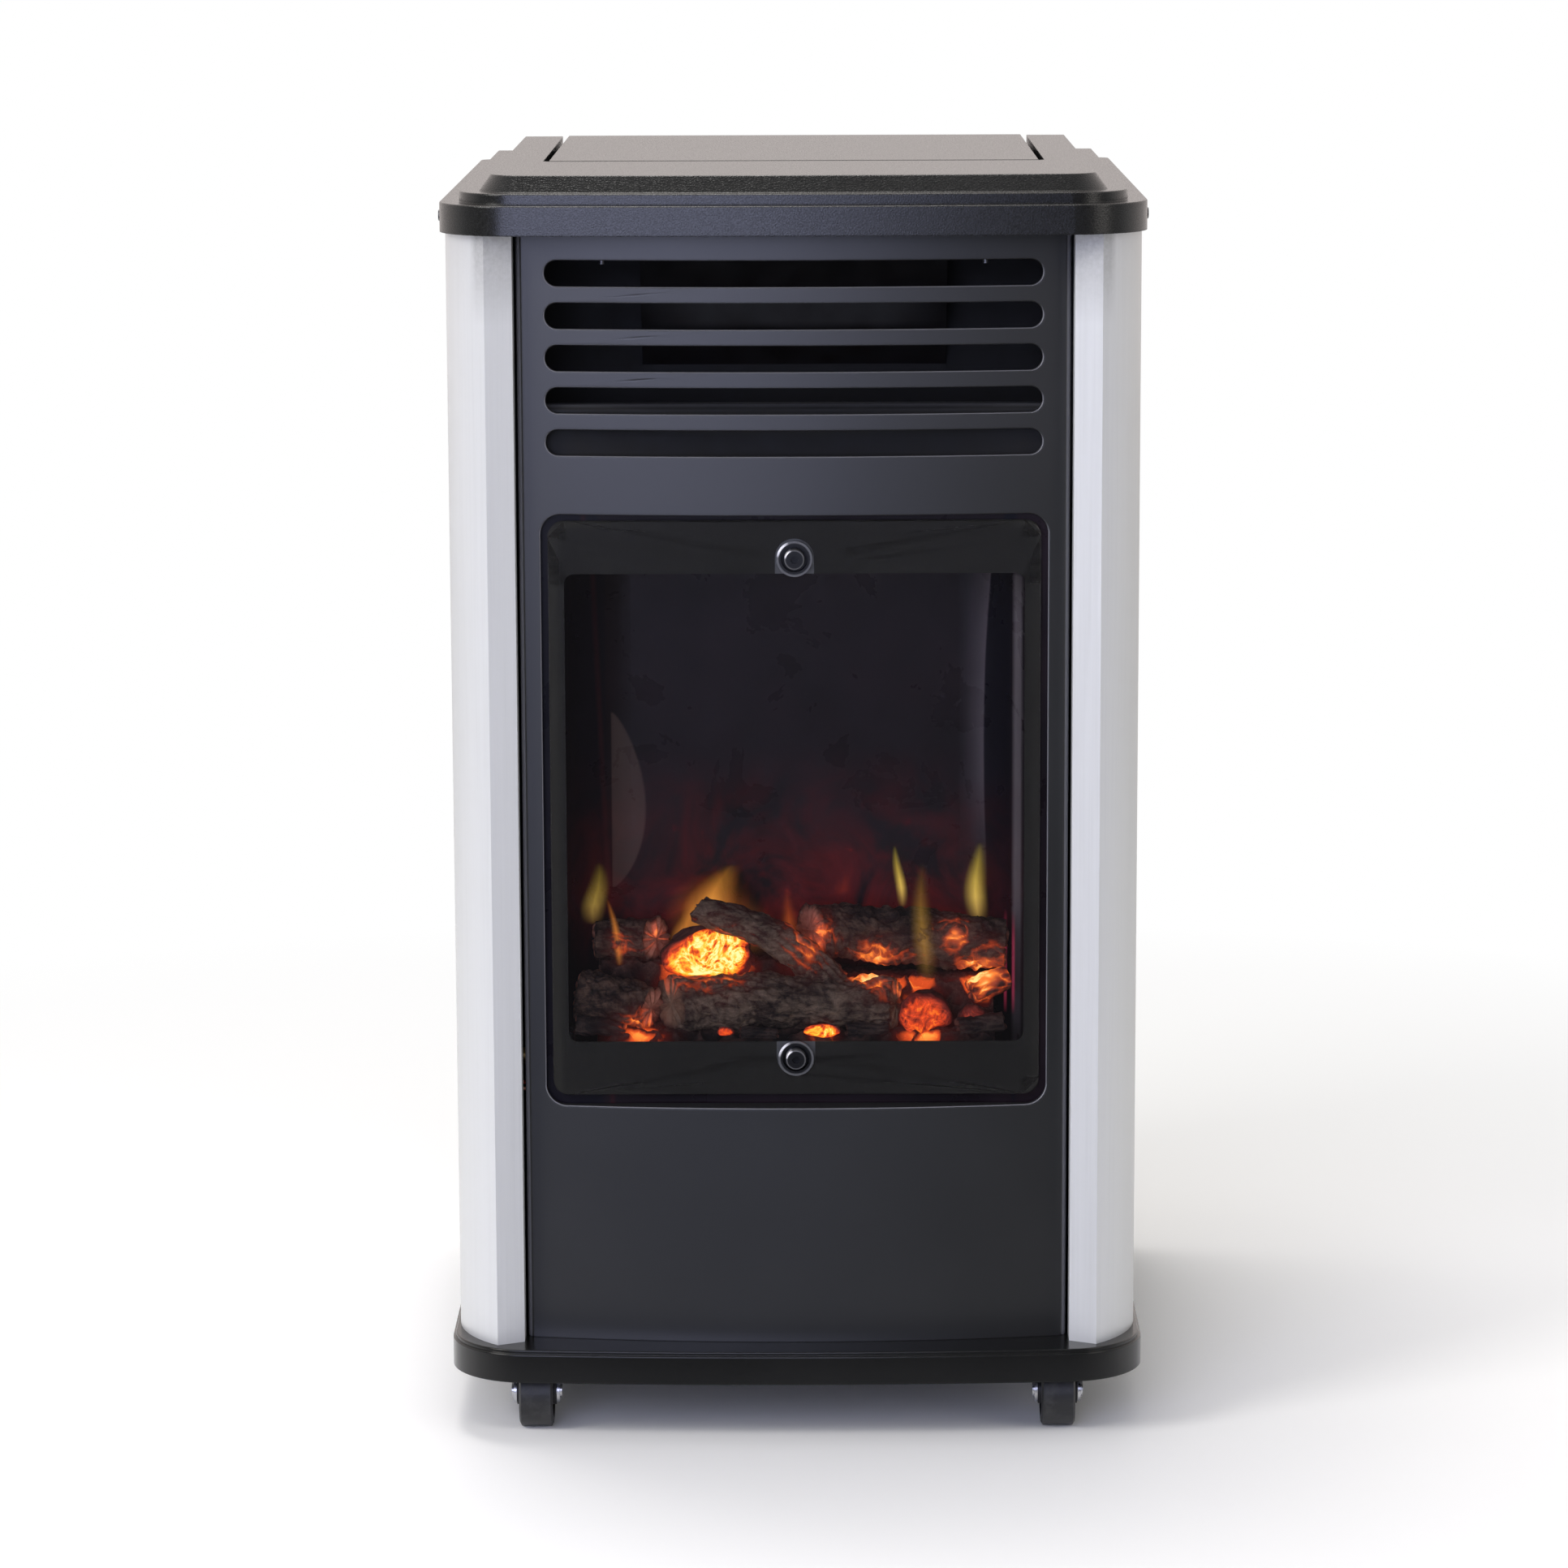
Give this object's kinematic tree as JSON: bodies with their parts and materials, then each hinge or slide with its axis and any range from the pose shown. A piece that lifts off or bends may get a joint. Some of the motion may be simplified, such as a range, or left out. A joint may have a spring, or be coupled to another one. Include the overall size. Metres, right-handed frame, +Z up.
{
  "type": "portable gas cabinet heater",
  "caption": "Upright steel cabinet gas heater on casters, with a flame-effect window, hot air slots, silver sides, a stepped black top with a control flap and a rear cylinder bay.",
  "frame": {"origin": "on the floor under the middle of the base", "axes": "+X to the right seen from the front, +Y to the back, +Z up; the front faces -Y"},
  "size_m": [0.433, 0.486, 0.7845],
  "materials": {
    "casing_black": "fine textured satin black powder coat",
    "panel_silver": "satin silver-grey paint",
    "panel_black": "smooth satin black paint",
    "casing_steel": "plain galvanised sheet",
    "firebox_enamel": "heatproof black, semi gloss",
    "window_glass": "clear ceramic glass",
    "glass_border": "opaque fired print, glossy through the glass",
    "screw_pads": "light grey print round the screws",
    "seal": "woven glass fibre tape",
    "zinc": "bright zinc plate",
    "brass": "turned and cast, satin",
    "copper": "drawn tube, satin",
    "lead_jacket": "silicone rubber jacket",
    "black_plastic": "fine matt moulding",
    "red_plastic": "glossy moulding",
    "ember_bed": "rough moulded fibre, charred",
    "log": "rough moulded fibre, painted as charred wood",
    "wheel": "hard black tread",
    "ember": "glowing fibre piece"
  },
  "bodies": {
    "cabinet": {"base_tray": "casing_black", "side_panel_left": "panel_silver", "side_panel_right": "panel_silver", "front_panel": "panel_black", "window_glass": "window_glass", "window_border": "glass_border", "screw_pads": "screw_pads", "window_seal": "seal", "window_cups": "zinc", "window_screws": "zinc", "firebox_shell": "firebox_enamel", "firebox_floor": "firebox_enamel", "firebox_stand": "casing_steel", "partition": "casing_steel", "lower_deflector": "firebox_enamel", "air_guide": "firebox_enamel", "top_baffle": "firebox_enamel", "baffle_screws": "zinc", "burner": "casing_steel", "injector": "brass", "injector_holder": "casing_steel", "ember_bed": "ember_bed", "log_front": "log", "log_left": "log", "log_rear_left": "log", "log_right": "log", "ember_stones": "ember", "pilot": "casing_steel", "thermocouple": "casing_steel", "spark_electrode": "casing_steel", "top_cap": "casing_black", "top_cap_screws": "zinc", "flap_hinge_pins": "zinc", "control_deck": "casing_steel", "gas_valve": "brass", "hose_inlet": "brass", "igniter_body": "black_plastic", "igniter_spring": "zinc", "feed_pipe": "copper", "thermocouple_lead": "copper", "ignition_lead": "lead_jacket", "door_hinges": "zinc", "caster_plates": "zinc"},
    "control_flap": {"control_flap": "casing_black"},
    "knob_carrier": {"stop_collar": "casing_steel", "knob_spring": "zinc"},
    "control_knob": {"valve_spindle": "brass", "control_knob": "black_plastic"},
    "igniter_button": {"igniter_button": "red_plastic"},
    "rear_door": {"rear_door": "casing_black"},
    "door_latch": {"door_latch": "black_plastic"},
    "caster_fork_front_left": {"caster_fork_front_left": "zinc"},
    "caster_wheel_front_left": {"caster_wheel_front_left": "wheel"},
    "caster_fork_front_right": {"caster_fork_front_right": "zinc"},
    "caster_wheel_front_right": {"caster_wheel_front_right": "wheel"},
    "caster_fork_rear_left": {"caster_fork_rear_left": "zinc"},
    "caster_wheel_rear_left": {"caster_wheel_rear_left": "wheel"},
    "caster_fork_rear_right": {"caster_fork_rear_right": "zinc"},
    "caster_wheel_rear_right": {"caster_wheel_rear_right": "wheel"}
  },
  "joints": [
    {"name": "flap_hinge", "type": "hinge", "parent": "cabinet", "child": "control_flap", "pos_m": [0, -0.0592, 0.7815], "axis": [1, 0, 0], "range_deg": [0, 95]},
    {"name": "knob_turn", "type": "hinge", "parent": "cabinet", "child": "knob_carrier", "pos_m": [-0.046, -0.0007, 0.76], "axis": [0, 0, 1], "range_deg": [0, 210]},
    {"name": "knob_push", "type": "slide", "parent": "knob_carrier", "child": "control_knob", "axis": [0, 0, -1], "range_m": [0, 0.003], "stiffness_N_per_m": 600, "springref_m": -0.002, "deforming": ["knob_spring"]},
    {"name": "igniter_push", "type": "slide", "parent": "cabinet", "child": "igniter_button", "axis": [0, 0, -1], "range_m": [0, 0.005], "stiffness_N_per_m": 900, "springref_m": -0.002, "deforming": ["igniter_spring"]},
    {"name": "door_swing", "type": "hinge", "parent": "cabinet", "child": "rear_door", "pos_m": [0.1845, 0.2295, 0.405], "axis": [0, 0, -1], "range_deg": [0, 110]},
    {"name": "latch_turn", "type": "hinge", "parent": "rear_door", "child": "door_latch", "pos_m": [-0.178, 0.2334, 0.4195], "axis": [0, 1, 0], "range_deg": [0, 90]},
    {"name": "caster_swivel_front_left", "type": "hinge", "parent": "cabinet", "child": "caster_fork_front_left", "pos_m": [-0.1637, -0.178, 0.052], "axis": [0, 0, 1], "continuous": true},
    {"name": "caster_roll_front_left", "type": "hinge", "parent": "caster_fork_front_left", "child": "caster_wheel_front_left", "pos_m": [-0.1637, -0.196, 0.0225], "axis": [1, 0, 0], "continuous": true},
    {"name": "caster_swivel_front_right", "type": "hinge", "parent": "cabinet", "child": "caster_fork_front_right", "pos_m": [0.1637, -0.178, 0.052], "axis": [0, 0, 1], "continuous": true},
    {"name": "caster_roll_front_right", "type": "hinge", "parent": "caster_fork_front_right", "child": "caster_wheel_front_right", "pos_m": [0.1637, -0.196, 0.0225], "axis": [1, 0, 0], "continuous": true},
    {"name": "caster_swivel_rear_left", "type": "hinge", "parent": "cabinet", "child": "caster_fork_rear_left", "pos_m": [-0.1637, 0.178, 0.052], "axis": [0, 0, 1], "continuous": true},
    {"name": "caster_roll_rear_left", "type": "hinge", "parent": "caster_fork_rear_left", "child": "caster_wheel_rear_left", "pos_m": [-0.1637, 0.16, 0.0225], "axis": [1, 0, 0], "continuous": true},
    {"name": "caster_swivel_rear_right", "type": "hinge", "parent": "cabinet", "child": "caster_fork_rear_right", "pos_m": [0.1637, 0.178, 0.052], "axis": [0, 0, 1], "continuous": true},
    {"name": "caster_roll_rear_right", "type": "hinge", "parent": "caster_fork_rear_right", "child": "caster_wheel_rear_right", "pos_m": [0.1637, 0.16, 0.0225], "axis": [1, 0, 0], "continuous": true}
  ]
}
